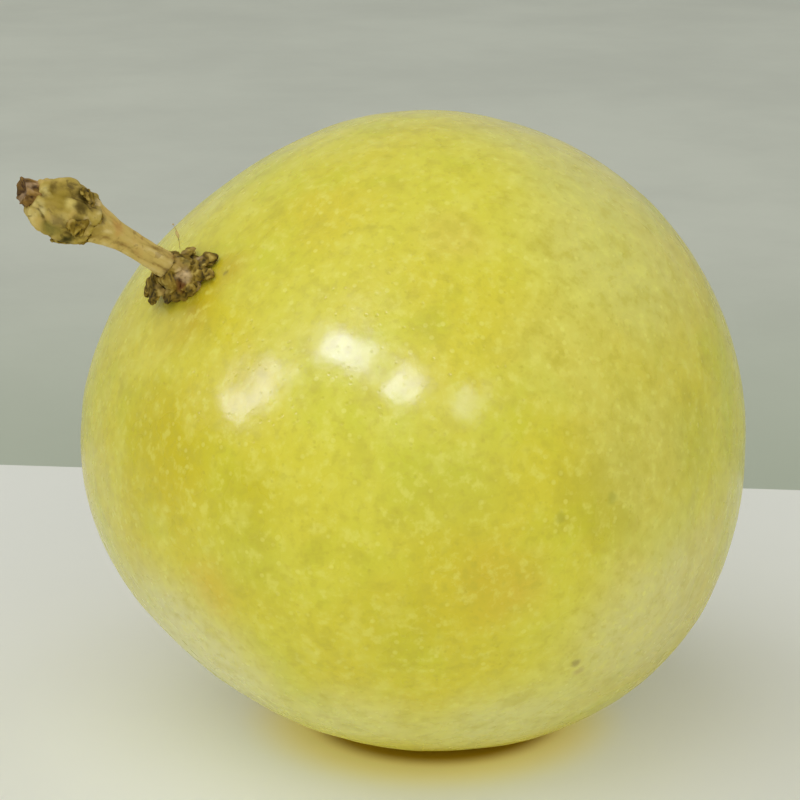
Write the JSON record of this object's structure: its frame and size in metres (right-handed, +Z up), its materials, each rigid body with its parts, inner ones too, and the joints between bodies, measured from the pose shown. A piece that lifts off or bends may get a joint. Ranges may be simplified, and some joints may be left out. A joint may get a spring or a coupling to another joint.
{
  "type": "yellow passion fruit with its stalk",
  "caption": "Round yellow passion fruit lying on its side, with its dry woody stalk, withered stamen ring and shrivelled flower base still on.",
  "frame": {"origin": "middle of the small flat on the underside that the fruit settles on", "axes": "+Z up as the fruit lies; -X towards the stalk end, whose axis rises 38.8 degrees from level; +Y completes a right-handed frame and is level, across the fruit's axis"},
  "size_m": [0.0799, 0.0704, 0.0655],
  "materials": {
    "rind": "waxy, smooth, with a soft gloss and fine pale dots",
    "dry_stalk": "dry, straw-tan, finely ribbed and dull",
    "dry_cup": "dry, shrivelled, straw-yellow with brown spots",
    "withered": "withered, crumpled, dark brown and dull"
  },
  "bodies": {
    "root": {"fruit": "rind", "stalk": "dry_stalk", "stamen_ring": "withered", "flower_base": "dry_cup", "fruit_stalk_stub": "dry_stalk", "stamen_1": "withered", "stamen_2": "withered", "stamen_3": "withered", "stamen_4": "withered", "stamen_5": "withered", "sepal_1": "withered", "sepal_2": "withered", "sepal_3": "withered", "sepal_4": "withered", "sepal_5": "withered"}
  },
  "joints": []
}
